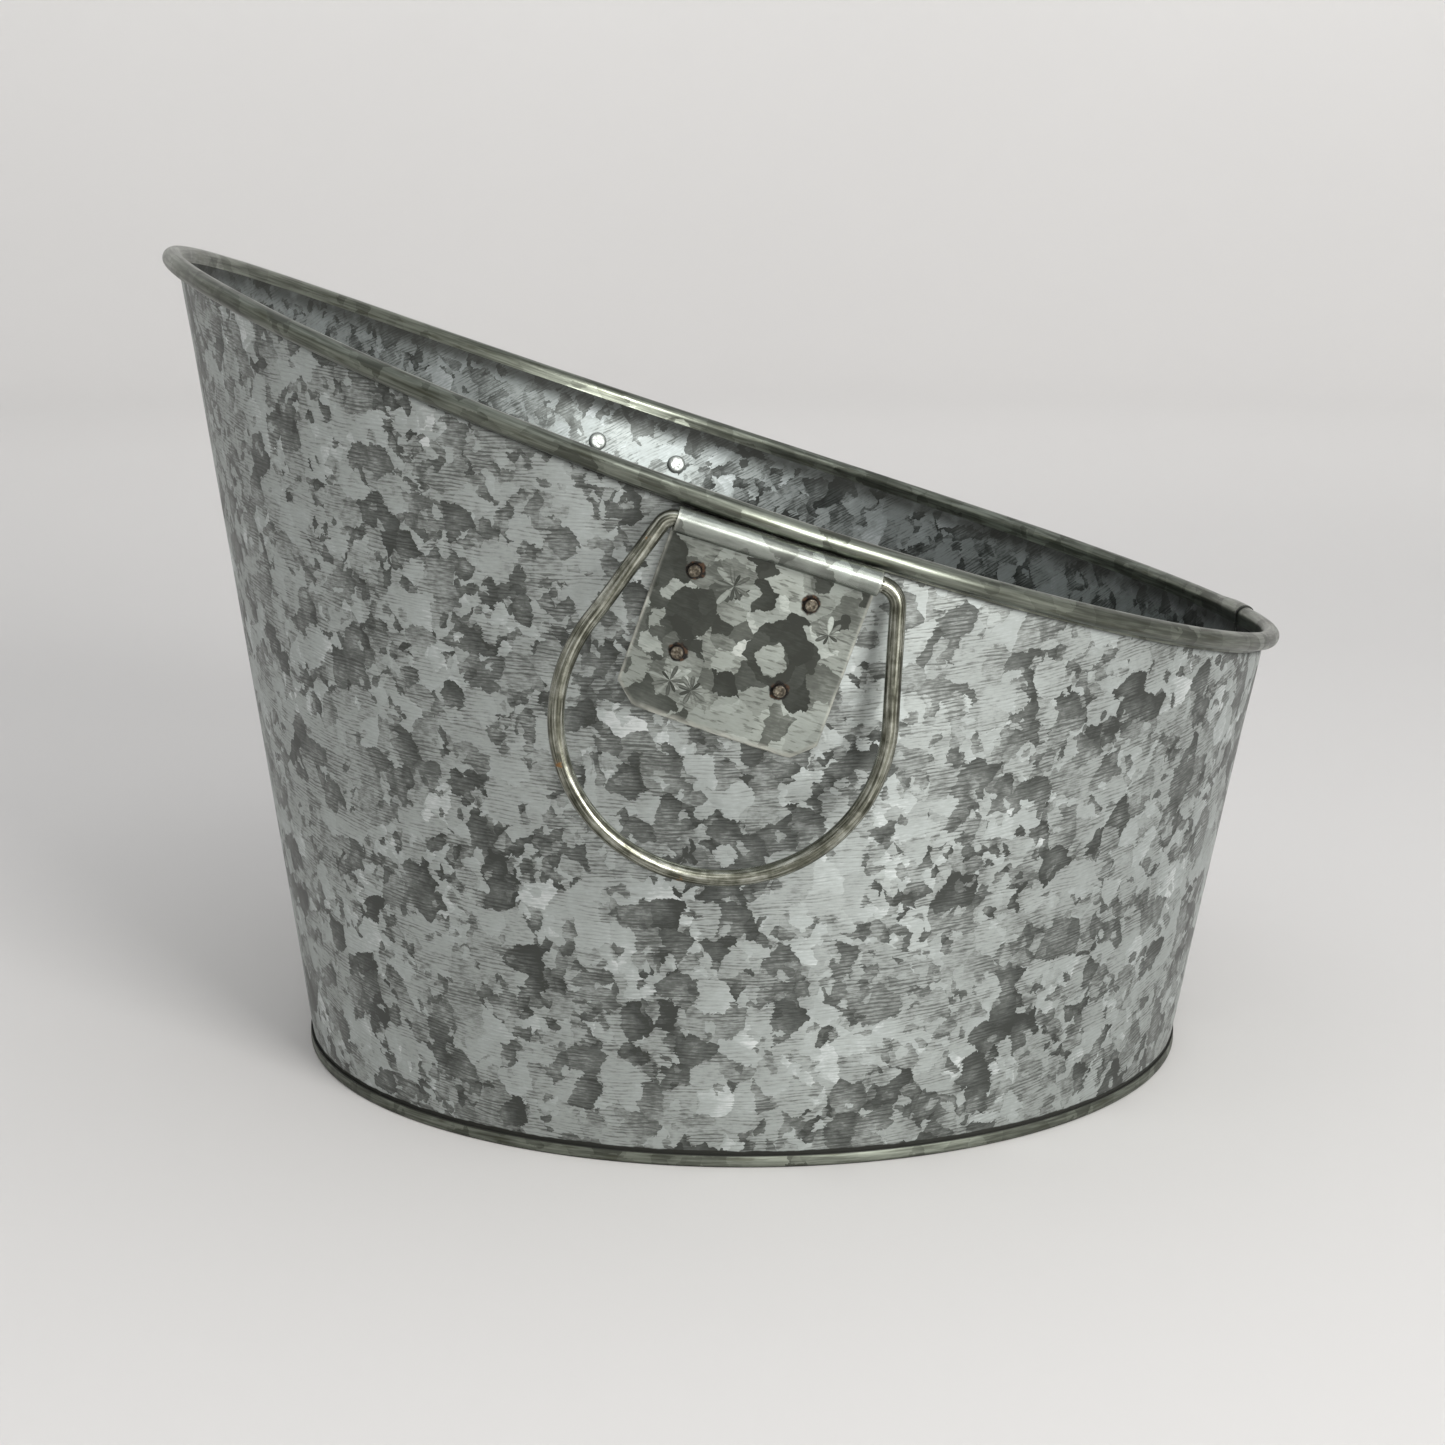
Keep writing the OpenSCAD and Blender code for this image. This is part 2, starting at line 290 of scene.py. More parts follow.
CONE = math.atan(TAPER)               # half the wall's cone angle
SHEET_R = BASE_R / math.sin(CONE)     # distance of the foot from the cone's point, along the wall
LEVEL_AT = 250                        # where the sheet's rolling lines lie level, in degrees past the seam
INSIDE_SHIFT = 3.0                    # the inner face's pattern is taken from another part of the sheet


def build_wall():
    edge = [0, 0.15, 0.5]
    stations = np.concatenate([edge, np.arange(1, 360 + LAP), 360 + LAP - np.array(edge[::-1])])
    s = stations[:, None]
    over = ramp(s, 356, 360) * (SHEET + GAP)
    under = 1 - ramp(s, LAP, 2 * LAP)
    z_rim = rim_z(s)
    foot = FOOT + ramp(s, 352, 356) * (HEM_H - 0.0004)
    neck = z_rim - NECK

    climb = np.linspace(0, 1, 60)[None, :]
    z = foot + (neck - foot) * climb
    dent_size = 0.0005
    clear = ease(z, 0.012, 0.035) * (1 - ease(z, neck - 0.022, neck - 0.004)) * away_from_brackets(s, z)
    dents = (0.5 + 0.5 * Waves(11, 14, (2, 11), 9)(s, z)) * dent_size * clear
    r = wall_r(z) + over - SHEET / 2 - dents
    straight = np.stack([r, z], axis=-1)

    curl_r = CURL_R + under * (SHEET + GAP)
    centre = wall_r(z_rim) + BEAD_OUT
    squeeze = (0.5 + 0.5 * Waves(12, 10, (9, 40), 0)(s, 0)) * 0.00006
    end = -120 + 20 * under
    turn = np.linspace(0, 1, 34)[None, :]
    angle = 180 + (end - 180) * turn
    radius = curl_r - squeeze
    bead = np.stack([centre + radius * cos(angle), z_rim + bead_stretch(s) * radius * sin(angle)], axis=-1)

    blend = np.linspace(0, 1, 8)[None, 1:-1, None]
    start, stop = straight[:, -1:], bead[:, :1]
    push = NECK * 0.9
    leave, arrive = np.array([TAPER, 1]) * push, np.array([0, 1]) * push
    neck_path = (
        start * (2 * blend**3 - 3 * blend**2 + 1) + stop * (3 * blend**2 - 2 * blend**3)
        + leave * (blend**3 - 2 * blend**2 + blend) + arrive * (blend**3 - blend**2)
    )
    path = np.concatenate([straight, neck_path, bead], axis=1)
    ring = outline(path, SHEET)
    points = on_wall(ring[..., 0], s, ring[..., 1])

    # Sheet coordinates, as on the flat sheet before it was rolled into a cone
    length = path_length(path)
    along = round_trip(length)
    spread = np.radians(s - LEVEL_AT) * math.sin(CONE)
    from_point = SHEET_R + along
    sheet = np.stack([from_point * np.sin(spread), from_point * np.cos(spread) - SHEET_R], axis=-1)
    rows = path.shape[1]
    bead_lead = 3    # the bead's own material starts this many points before it, in the neck
    bead_row = rows - bead.shape[1] - bead_lead

    # On the bead: round the rim, and across it
    around = np.radians(s) * BASE_R + 0 * along
    rim_sheet = np.stack([around, along - length[:, bead_row:bead_row + 1]], axis=-1)

    def on_bead(j):
        return (j >= bead_row) & (j <= 2 * rows + ROUND_END - bead_row)

    def flat(i, j):
        j_in = j % ring.shape[1]
        inner, bead = j < rows, on_bead(j)
        if j.ndim == 2:
            inner, bead = inner.all(axis=1, keepdims=True), bead.all(axis=1, keepdims=True)
        uv = sheet[i, j_in].copy()
        uv[..., 0] += np.where(inner, INSIDE_SHIFT, 0.0)
        return np.where(bead[..., None], rim_sheet[i, j_in], uv)

    def slots(i, j):
        return on_bead(j).all(axis=1).astype(int)

    # Painted shade in the crease under the bead, outside and inside, stored for the wall's material to paint
    # near-black
    height = ring[..., 1] - z_rim
    column = np.arange(ring.shape[1])[None, :]
    outside = (column >= rows + ROUND_END) & (column < 2 * rows + ROUND_END)
    bead_shade = np.where(outside, ease(height, -0.0052, -0.0030), 0.85 * ease(height, -0.0110, -0.0040))
    return grid_piece(
        "bucket_wall", points, flat, wrap_columns=True, slots=slots, close_ends=True, stored={"bead_shade": bead_shade}
    )


def away_from_brackets(s, z):
    """0 behind the two brackets and 1 away from them."""
    apart = np.minimum(np.abs(s - (BRACKET_ANGLE % 360)), np.abs(s + BRACKET_ANGLE))
    side = ease(apart, 12, 24)
    below = 1 - ease(z, 0.105, 0.120)
    return np.maximum(side, below)


def rounded(corners, radius, steps=5):
    """A path through corner points with arcs at its inner corners."""
    corners = [np.array(c, float) for c in corners]
    path = [corners[0]]
    for before, at, after in zip(corners, corners[1:], corners[2:]):
        a, b = before - at, after - at
        room = min(np.linalg.norm(a), np.linalg.norm(b)) * 0.45
        a, b = a / np.linalg.norm(a), b / np.linalg.norm(b)
        half_turn = math.acos(np.clip(a @ b, -1, 1)) / 2
        back = min(radius / math.tan(half_turn), room)
        for t in np.linspace(0, 1, steps):
            path.append(at + a * back * (1 - t) ** 2 + b * back * t**2)
    path.append(corners[-1])
    return np.array(path)


def refined(path, step):
    """The same path with no stretch longer than step."""
    parts = []
    for a, b in zip(path, path[1:]):
        count = max(1, int(np.ceil(np.linalg.norm(b - a) / step)))
        parts.append(a + (b - a) * np.linspace(0, 1, count + 1)[:-1, None])
    return np.concatenate(parts + [path[-1:]])


def build_floor():
    half = SHEET / 2
    inset = SHEET + FACET_GAP + half
    hem_r = BASE_R + HEM_OUT - half
    corners = [
        (0, FLOOR_H + PANEL_RISE),
        (PANEL_R, FLOOR_H + PANEL_RISE),
        (PANEL_R + 0.003, FLOOR_H),
        (wall_r(FLOOR_H) - inset, FLOOR_H),
        (wall_r(half) - inset, half),
        (hem_r, half),
        (hem_r, HEM_H - half),
    ]
    fillet, longest_step = 0.0007, 0.004
    path = refined(rounded(corners, fillet), longest_step)
    phi = np.arange(360)[:, None]
    wobble = Waves(21, 9, (3, 24), 0)(phi, 0)
    buckle_size, hem_dent = 0.0005, 0.00012
    buckle = Waves(22, 12, (1, 6), 18)(phi, path[None, :, 0]) * buckle_size
    inside = 1 - ease(path[:, 0], PANEL_R - 0.02, PANEL_R)
    centre_calm = ease(path[:, 0], 0, 0.05)
    lift = buckle * (inside * centre_calm)[None, :]
    on_hem = (path[:, 0] > hem_r - 0.0008) & (path[:, 1] > 0.001)
    shrink = on_hem[None, :] * (0.5 + 0.5 * wobble) * hem_dent
    paths = np.stack([path[None, :, 0] - shrink, path[None, :, 1] + lift], axis=-1)
    ring = outline(paths, SHEET)
    points = np.stack([BASE_X + ring[..., 0] * cos(phi), ring[..., 0] * sin(phi), ring[..., 1]], axis=-1)
    length = path_length(paths)
    along = round_trip(length)
    sheet = np.stack([along * cos(phi), along * sin(phi)], axis=-1)
    shift = np.array([0.0, 6.0])    # the floor was cut from another part of the sheet

    top_row = path.shape[0]
    hem_row = int(np.argmax(path[:, 0] > wall_r(half) - inset + 0.0004))

    def slots(i, j):
        return ((j >= hem_row) & (j <= 2 * top_row + ROUND_END - hem_row)).all(axis=-1).astype(int)

    def flat(i, j):
        i_in, j_in = i % len(phi), j % ring.shape[1]
        band = np.stack([np.radians(i) * BASE_R, along[i_in, j_in] - length[0, hem_row]], axis=-1)
        return np.where(slots(i, j)[..., None, None] == 1, band, sheet[i_in, j_in] + shift)

    return grid_piece("floor_pan_pressed", points, flat, wrap_rows=True, wrap_columns=True, slots=slots)


# ---------------------------------------------------------------- brackets, handles and rivets


def near_frame():
    """Hinge frame of the near bracket: x along the hinge, y into the bucket, z up the wall."""
    return (
        Matrix.Translation(HINGE["near_handle"])
        @ Matrix.Rotation(math.radians(BRACKET_ANGLE + 90), 4, "Z")
        @ Matrix.Rotation(WALL_TILT, 4, "X")
        @ Matrix.Rotation(math.radians(BRACKET_SLOPE), 4, "Y")
    )


def across(x, z):
    """Distance round the wall from the bracket's middle."""
    return x * cos(BRACKET_SLOPE) + z * sin(BRACKET_SLOPE)


def fall_away(x, z):
    """How far the wall has fallen away from its tangent plane there."""
    return across(x, z) ** 2 / (2 * wall_r(HINGE["near_handle"].z + z)) * math.cos(WALL_TILT)


def plate_back(x, z):
    return TUBE_R + PLATE_FIT * ramp(-z, TUBE_R, 4 * TUBE_R) * fall_away(x, z)


def build_bracket(side, mirrored, seed):
    chamfer = 0.00018
    inner = np.linspace(-PLATE_HALF + chamfer, PLATE_HALF - chamfer, 71)
    xs = np.concatenate([[-PLATE_HALF], inner, [PLATE_HALF]])[:, None]
    foot = -PLATE_DROP + np.maximum(np.abs(xs) - (PLATE_HALF - CORNER_CUT), 0) * CUT_SLOPE
    plate_points = 34
    climb = np.linspace(0, 1, plate_points)[None, :]
    z = foot + (-TUBE_R - foot) * climb
    uneven = (0.5 + 0.5 * Waves(seed, 8, (0, 0), 26)(0, xs * 0.9 + z * 0.7)) * 0.00016
    uneven = uneven + (0.5 + 0.5 * Waves(seed + 1, 8, (0, 0), 22)(0, xs * 0.8 - z)) * 0.00012
    middle = TUBE_R - BRACKET_T / 2
    plate = np.stack([plate_back(xs, z) - BRACKET_T / 2 - uneven * ease(-z, TUBE_R, 3 * TUBE_R), z], axis=-1)
    neck_z = np.linspace(-TUBE_R, 0, 5)[None, 1:-1].repeat(len(xs), 0)
    neck = np.stack([np.full_like(neck_z, middle), neck_z], axis=-1)
    angle = np.linspace(0, 312, 46)[None, :].repeat(len(xs), 0)
    oval = 1 + 0.012 * Waves(seed + 2, 6, (1, 3), 20)(angle, xs)
    tube = np.stack([middle * oval * cos(angle), middle * oval * sin(angle)], axis=-1)
    path = np.concatenate([plate, neck, tube], axis=1)
    thin = np.full(len(xs), BRACKET_T)
    thin[[0, -1]] = BRACKET_T - 2 * chamfer
    ring = outline(path, thin)
    x = xs.repeat(ring.shape[1], 1)
    points = np.stack([x, ring[..., 0], ring[..., 1]], axis=-1)
    length = path_length(path)
    length = length - length[:, plate_points - 1:plate_points]
    along = round_trip(length)
    sheet = np.stack([x, along], axis=-1) + np.array([PLATE_ORIGIN, 0])
    rows = path.shape[1]
    below = along - along.min(axis=1, keepdims=True)
    edge = np.maximum(1 - ease(below, 0, 0.0016), 1 - ease(PLATE_HALF - np.abs(x), 0, 0.0007))

    def flat(i, j):
        uv = sheet[i, j % ring.shape[1]].copy()
        front = (j < rows).all(axis=-1, keepdims=True) if j.ndim == 2 else j < rows
        uv[..., 0] += np.where(front, 0.0, INSIDE_SHIFT)
        return uv

    moved = placed(points, near_frame(), mirrored)
    return grid_piece(
        f"bracket_{side}_sheet", moved, flat, wrap_columns=True, close_ends=True, stored={"edge": edge}
    )


def turn_about(centre, radius, start, stop, count):
    a = np.linspace(start, stop, count)
    return np.stack([centre[0] + radius * cos(a), centre[1] + radius * sin(a), a], axis=1)


def build_handle(side, mirrored, seed):
    def bar_reach(angle, bend):
        return (RING_R - bend - (RING_DROP - bend) * sin(angle)) / cos(angle)

    low_end = RING_SIDE + bar_reach(LOW_LEG, LOW_BEND)
    high_end = RING_SIDE - bar_reach(HIGH_LEG, HIGH_BEND)
    right = turn_about((low_end, -LOW_BEND), LOW_BEND, 90, LOW_LEG, 13)
    ring = turn_about((RING_SIDE, -RING_DROP), RING_R, LOW_LEG, -180 - HIGH_LEG, 110)
    left = turn_about((high_end, -HIGH_BEND), HIGH_BEND, -180 - HIGH_LEG, -270, 13)

    def leg(a, b):
        t = np.linspace(0, 1, 9)[1:-1, None]
        return a + (b - a) * t

    bar = leg(left[-1], np.array([right[0][0], right[0][1], -270]))
    line = np.concatenate([right, leg(right[-1], ring[0]), ring, leg(ring[-1], left[0]), left, bar])
    steps = np.linalg.norm(np.diff(line[:, :2], axis=0, append=line[:1, :2]), axis=1)
    travel = np.concatenate([[0], np.cumsum(steps)])
    share = travel[:-1] / travel[-1] * 360
    free = ease(-line[:, 1], 0.008, 0.03)
    bend_size = 0.0005
    push_out = Waves(seed, 6, (1, 4), 0)(share, 0) * bend_size * free
    push_side = Waves(seed + 1, 6, (1, 4), 0)(share, 0) * bend_size * free
    k = 24
    around = np.arange(k) * 360 / k
    radius = WIRE_R - 0.00001
    out = push_out[:, None] + radius * cos(around)[None, :]
    points = np.stack(
        [
            line[:, :1] + out * cos(line[:, 2:3]),
            push_side[:, None] + radius * sin(around)[None, :],
            line[:, 1:2] + out * sin(line[:, 2:3]),
        ],
        axis=-1,
    )
    hang = np.array(Matrix.Rotation(-HANG, 3, "X"))
    moved = placed(points @ hang.T, near_frame(), mirrored)
    girth = np.arange(k + 1) / k * 2 * np.pi * WIRE_R
    flat = np.stack(np.meshgrid(travel, girth, indexing="ij"), axis=-1) + np.array([12.0 + seed * 0.1, 0])
    return grid_piece(f"handle_{side}_wire", moved, flat, wrap_rows=True, wrap_columns=True)


def rivet_frame(x, drop):
    z = -drop
    turn = np.degrees(np.arctan(across(x, z) / wall_r(HINGE["near_handle"].z + z)))
    return (
        near_frame()
        @ Matrix.Translation((x, HINGE_OUT + fall_away(x, z), z))
        @ Matrix.Rotation(math.radians(turn * cos(BRACKET_SLOPE)), 4, "Z")
        @ Matrix.Rotation(math.radians(90 - turn * sin(BRACKET_SLOPE)), 4, "X")
    )


def build_rivet(side, number, mirrored, seed):
    x, drop = RIVETS[number]
    draw = np.random.default_rng(seed)
    under_head = -SHEET - FACET_GAP - 0.00005
    plate_out = HINGE_OUT + fall_away(x, -drop) - plate_back(x, -drop) + BRACKET_T
    seat = plate_out + 0.00012
    dome = [(HEAD_R - HEAD_H + HEAD_H * cos(a), under_head - HEAD_H * sin(a)) for a in (90, 68, 45, 22, 0)]
    lip = SHANK_R + 0.0003
    top = seat + STUB_H
    corners = [
        (0, under_head - HEAD_H), *dome, (SHANK_R, under_head), (SHANK_R, seat),
        (SHANK_R + 0.0002, seat), (lip, seat + 0.0004), (lip - 0.0001, top - 0.0004),
        (SHANK_R - 0.0001, top - 0.0001), (SHANK_R - 0.0007, top), (0, top - 0.0001),
    ]
    profile = rounded(corners, 0.00012, 3)
    k = 40
    phi = np.arange(k)[:, None] * 360 / k
    r, z = profile[None, :, 0], profile[None, :, 1]
    peened = ease(z, seat, seat + 0.0005)
    uneven = Waves(seed, 5, (1, 5), 0)(phi, 0) * 0.05 * peened
    tilt = draw.uniform(-0.12, 0.12, 2)
    radius = r * (1 + uneven)
    px, py = radius * cos(phi), radius * sin(phi)
    face = ease(z, top - 0.0005, top)
    hammered = Waves(seed + 1, 5, (1, 4), 900)(phi, r) * 0.00005 * face
    dish = -0.00012 * face * (1 - ease(r, 0, SHANK_R)) + hammered
    slant = (tilt[0] * px + tilt[1] * py) * peened
    points = np.stack([px, py, z + dish + slant], axis=-1)
    flat = np.stack([z + 0 * phi, r + 0 * phi], axis=-1)
    flat = np.concatenate([flat, flat[:1]], axis=0)
    moved = placed(points, rivet_frame(x, drop), mirrored)
    return grid_piece(f"rivet_{side}_pin_{number + 1}", moved, flat, wrap_rows=True)


# ---------------------------------------------------------------- materials


def srgb(*levels):
    """A colour from screen levels of 0 to 255."""
    scaled = [level / 255 for level in levels]
    linear = [c / 12.92 if c <= 0.04045 else ((c + 0.055) / 1.055) ** 2.4 for c in scaled]
    return (*linear, 1.0)


class Look:
    """A material's node tree, with a short call for each kind of node."""

    def __init__(self, name):
        self.material = bpy.data.materials.new(name)
        self.material.use_nodes = True
        self.tree = self.material.node_tree
        self.shader = self.tree.nodes["Principled BSDF"]

    def put(self, socket, value):
        if isinstance(value, bpy.types.NodeSocket):
            self.tree.links.new(value, socket)
        else:
            socket.default_value = value

    def node(self, kind, inputs=None, **settings):
        made = self.tree.nodes.new("ShaderNode" + kind)
        for key, value in settings.items():
            setattr(made, key, value)
        for key, value in (inputs or {}).items():
            self.put(made.inputs[key], value)
        return made

    def maths(self, operation, *values):
        return self.node("Math", dict(enumerate(values)), operation=operation).outputs[0]

    def add(self, *values):
        total = values[0]
        for value in values[1:]:
            total = self.maths("ADD", total, value)
        return total

    def times(self, *values):
        total = values[0]
        for value in values[1:]:
            total = self.maths("MULTIPLY", total, value)
        return total

    def less(self, value):
        return self.maths("SUBTRACT", 1.0, value)

    def vector(self, operation, *values):
        made = self.node("VectorMath", dict(enumerate(values)), operation=operation)
        return made.outputs["Value" if operation in ("DOT_PRODUCT", "LENGTH", "DISTANCE") else "Vector"]

    def scaled(self, vector, factor):
        inputs = {"Vector": vector, "Scale": factor}
        return self.node("VectorMath", inputs, operation="SCALE").outputs["Vector"]

    def flat(self):
        """The piece's own sheet coordinates, in metres."""
        return self.node("UVMap", uv_map="sheet").outputs["UV"]

    def place(self):
        return self.node("TexCoord").outputs["Object"]

    def stored(self, name):
        return self.node("Attribute", attribute_name=name).outputs["Fac"]

    def noise(self, at, size, detail=2.0, rough=0.5, output="Fac", dimensions="2D"):
        inputs = {"Vector": at, "Scale": 1 / size, "Detail": detail, "Roughness": rough}
        return self.node("TexNoise", inputs, noise_dimensions=dimensions).outputs[output]

    def streaks(self, at, length, width, detail=2.0):
        """Noise drawn out along the sheet's first direction."""
        x, y, _ = self.parts(at)
        return self.noise(self.joined(self.times(x, 1 / length), self.times(y, 1 / width)), 1.0, detail)

    def cells(self, at, size):
        return self.node("TexVoronoi", {"Vector": at, "Scale": 1 / size}, voronoi_dimensions="2D")

    def parts(self, vector):
        return self.node("SeparateXYZ", {0: vector}).outputs

    def joined(self, x, y, z=0.0):
        return self.node("CombineXYZ", {0: x, 1: y, 2: z}).outputs[0]

    def band(self, value, low, high, start=0.0, stop=1.0, soft=True):
        """value's range low to high, laid on start to stop."""
        kind = "SMOOTHSTEP" if soft else "LINEAR"
        inputs = {0: value, 1: low, 2: high, 3: start, 4: stop}
        return self.node("MapRange", inputs, interpolation_type=kind).outputs[0]

    def shades(self, value, stops):
        made = self.node("ValToRGB", {0: value})
        points = made.color_ramp.elements
        while len(points) < len(stops):
            points.new(0.5)
        for point, (position, colour) in zip(points, stops):
            point.position = position
            point.color = colour
        return made.outputs["Color"]

    def mix(self, factor, a, b, mode="MIX"):
        made = self.node("Mix", data_type="RGBA", blend_type=mode)
        for socket, value in ((made.inputs[0], factor), (made.inputs[6], a), (made.inputs[7], b)):
            self.put(socket, value)
        return made.outputs[2]

    def choose(self, factor, a, b):
        made = self.node("Mix", data_type="FLOAT")
        for socket, value in ((made.inputs[0], factor), (made.inputs[2], a), (made.inputs[3], b)):
            self.put(socket, value)
        return made.outputs[0]

    def centred(self, colour):
        return self.vector("SUBTRACT", colour, (0.5, 0.5, 0.5))

    def tilted(self, tilt, amount):
        """The surface's normal, turned a little by a random vector."""
        normal = self.node("NewGeometry").outputs["Normal"]
        return self.vector("NORMALIZE", self.vector("ADD", normal, self.scaled(tilt, amount)))

    def bump(self, height, distance, strength=1.0, normal=None):
        inputs = {"Height": height, "Distance": distance, "Strength": strength}
        if normal is not None:
            inputs["Normal"] = normal
        return self.node("Bump", inputs).outputs["Normal"]

    def finish(self, colour, roughness, metallic, normal=None):
        self.put(self.shader.inputs["Base Color"], colour)
        self.put(self.shader.inputs["Roughness"], roughness)
        self.put(self.shader.inputs["Metallic"], metallic)
        if normal is not None:
            self.put(self.shader.inputs["Normal"], normal)
        return self.material


def crystals(look, at, size, offset):
    """One layer of zinc crystals: random values for each, its place, and a slow change across it."""
    shifted = look.vector("ADD", at, (offset, offset * 0.7, 0))
    cells = look.cells(shifted, size)
    arm = look.vector("SUBTRACT", shifted, cells.outputs["Position"])
    heading = look.centred(cells.outputs["Color"])
    return {
        "random": look.parts(cells.outputs["Color"]),
        "colour": cells.outputs["Color"],
        "place": cells.outputs["Position"],
        "slope": look.times(look.vector("DOT_PRODUCT", arm, heading), 1 / size),
        "middle": look.add(0.28, look.times(look.vector("LENGTH", arm), -1 / size)),
    }


def ragged(look, sheet, size, wander, lobes, chip, comb=None):
    """Sheet coordinates whose every straight border turns lobed and chipped."""
    pull = 0.4    # how far each chip draws together
    drift = look.centred(look.noise(sheet, size, 2, 0.5, "Color"))
    bent = look.vector("ADD", sheet, look.scaled(drift, wander))
    lobed = look.centred(look.noise(sheet, chip * 2.2, 3, 0.65, "Color"))
    bent = look.vector("ADD", bent, look.scaled(lobed, lobes))
    if comb is not None:
        bent = look.vector("ADD", bent, look.joined(comb, 0.0))
    chips = look.cells(bent, chip)
    shift = look.vector("SUBTRACT", chips.outputs["Position"], bent)
    return look.vector("ADD", bent, look.scaled(shift, pull))


def spangle(look, sheet, at, size, broken_share):
    """Brightness of spangled zinc from 0 to 1, and the random tilt of each crystal's face."""
    large = crystals(look, at, size, 0.0)
    small = crystals(look, at, size * 0.42, 0.37)
    tiny = crystals(look, at, size * 0.30, 0.71)
    cluster = look.band(look.noise(large["place"], size * 2.6, 1), 0.28, 0.72, 0, 1, False)
    broken = look.maths("GREATER_THAN", large["random"][1], 1 - broken_share)
    value = look.choose(broken, large["random"][0], small["random"][0])
    slope = look.choose(broken, large["slope"], small["slope"])
    middle = look.choose(broken, large["middle"], small["middle"])
    odd = look.maths("GREATER_THAN", tiny["random"][2], 0.88)
    value = look.choose(odd, value, tiny["random"][0])
    cloud = look.add(look.noise(sheet, size * 1.7, 4, 0.6), -0.5)
    bright = look.add(look.times(value, 0.62), look.times(cluster, 0.34), 0.03)
    dark = look.band(bright, 0.25, 0.5, 1, 0)
    bright = look.add(bright, look.times(slope, 0.30), look.times(cloud, 0.34))
    bright = look.add(bright, look.times(middle, dark, 0.42))
    return bright, look.centred(look.mix(broken, large["colour"], small["colour"]))


def roll_lines(look, sheet, pitch):
    """Fine lines that the rolls left along the sheet: their wave, and how strong they are in each place."""
    x, y, _ = look.parts(sheet)
    y = look.add(y, look.times(look.noise(sheet, 0.03, 1), 0.002))
    wobble = look.streaks(look.joined(x, y), 0.016, pitch * 2.4)
    wave = look.maths("SINE", look.add(look.times(y, 2 * math.pi / pitch), look.times(wobble, 11.0)))
    strength = look.band(look.streaks(look.joined(x, y), 0.014, 0.0045), 0.34, 0.66)
    return wave, strength


ZINC_SHADES = [
    (0.00, srgb(74, 76, 73)),
    (0.18, srgb(90, 93, 90)),
    (0.34, srgb(110, 113, 110)),
    (0.43, srgb(134, 138, 135)),
    (0.54, srgb(160, 165, 162)),
    (0.80, srgb(176, 182, 180)),
    (1.00, srgb(206, 210, 209)),
]
# Near-black of the painted shade in creases and along the hem's edges
SHADE_BLACK = srgb(30, 31, 26)


def wall_zinc(name):
    look = Look(name)
    sheet = look.flat()
    wave, strength = roll_lines(look, sheet, 0.00112)
    comb = look.times(wave, strength, 0.00034)
    at = ragged(look, sheet, 0.008, 0.0050, 0.0022, 0.0014, comb)
    bright, tilt = spangle(look, sheet, at, 0.0082, 0.42)
    line = look.times(look.band(wave, -0.2, 0.9), look.add(look.times(strength, 0.85), 0.15))
    rub = look.add(look.streaks(sheet, 0.0026, 0.00042, 3), -0.5)
    mottle = look.add(look.noise(sheet, 0.0032, 4, 0.7), -0.5)
    worn = look.band(look.noise(sheet, 0.035, 2), 0.35, 0.65, 1.05, 0.60)
    shade = look.add(look.times(look.add(bright, -0.52), worn), 0.505)
    shade = look.add(shade, look.times(line, -0.18), look.times(rub, 0.40), look.times(mottle, 0.28), 0.03)
    colour = look.shades(shade, ZINC_SHADES)
    # The inner face is painted darker: painted shade of the bucket's inside
    inside = look.maths("GREATER_THAN", look.parts(sheet)[0], INSIDE_SHIFT / 2)
    colour = look.mix(inside, colour, look.mix(1.0, colour, srgb(194, 196, 197), "MULTIPLY"))
    # Painted shade: a near-black line in the crease just above the floor's hem, and the stored bead shade
    # under the bead, made uneven by noise
    wander = look.times(look.add(look.noise(sheet, 0.006, 3), -0.5), 0.0008)
    over_hem = look.band(look.add(look.parts(look.place())[2], wander), HEM_H + 0.0010, HEM_H + 0.0014, 1, 0)
    painted_shade = look.times(look.stored("bead_shade"), look.band(look.noise(sheet, 0.006, 3), 0.2, 0.5, 0.75, 1.0))
    painted_shade = look.maths("MAXIMUM", painted_shade, over_hem)
    colour = look.mix(painted_shade, colour, SHADE_BLACK)
    roughness = look.choose(painted_shade, look.band(bright, 0.1, 0.9, 0.42, 0.52, False), 0.8)
    height = look.add(look.times(line, -0.8), look.times(rub, 0.7))
    normal = look.bump(height, 0.000014, 1.0, look.tilted(tilt, 0.10))
    return look.finish(colour, roughness, look.choose(painted_shade, 0.88, 0.3), normal)


